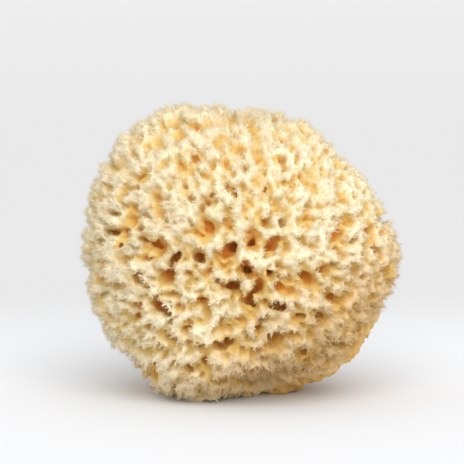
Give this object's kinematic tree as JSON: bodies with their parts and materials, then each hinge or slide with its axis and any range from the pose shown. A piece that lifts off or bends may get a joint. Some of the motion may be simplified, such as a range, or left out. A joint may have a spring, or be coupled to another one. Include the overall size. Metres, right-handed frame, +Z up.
{
  "type": "sea sponge",
  "caption": "Rounded natural bath sponge of soft fibre, with canal mouths between ragged tufts all round and a flat cut underneath to rest on.",
  "frame": {"origin": "on the surface that the sponge rests on, under the middle of its outline", "axes": "+Z up, front towards -Y, +X to the right as seen from the front"},
  "size_m": [0.1384, 0.1233, 0.1268],
  "materials": {
    "fibre": "soft matte natural fibre, pale at the tips and red-brown deep in the canals"
  },
  "bodies": {
    "root": {"sponge": "fibre"}
  },
  "joints": []
}
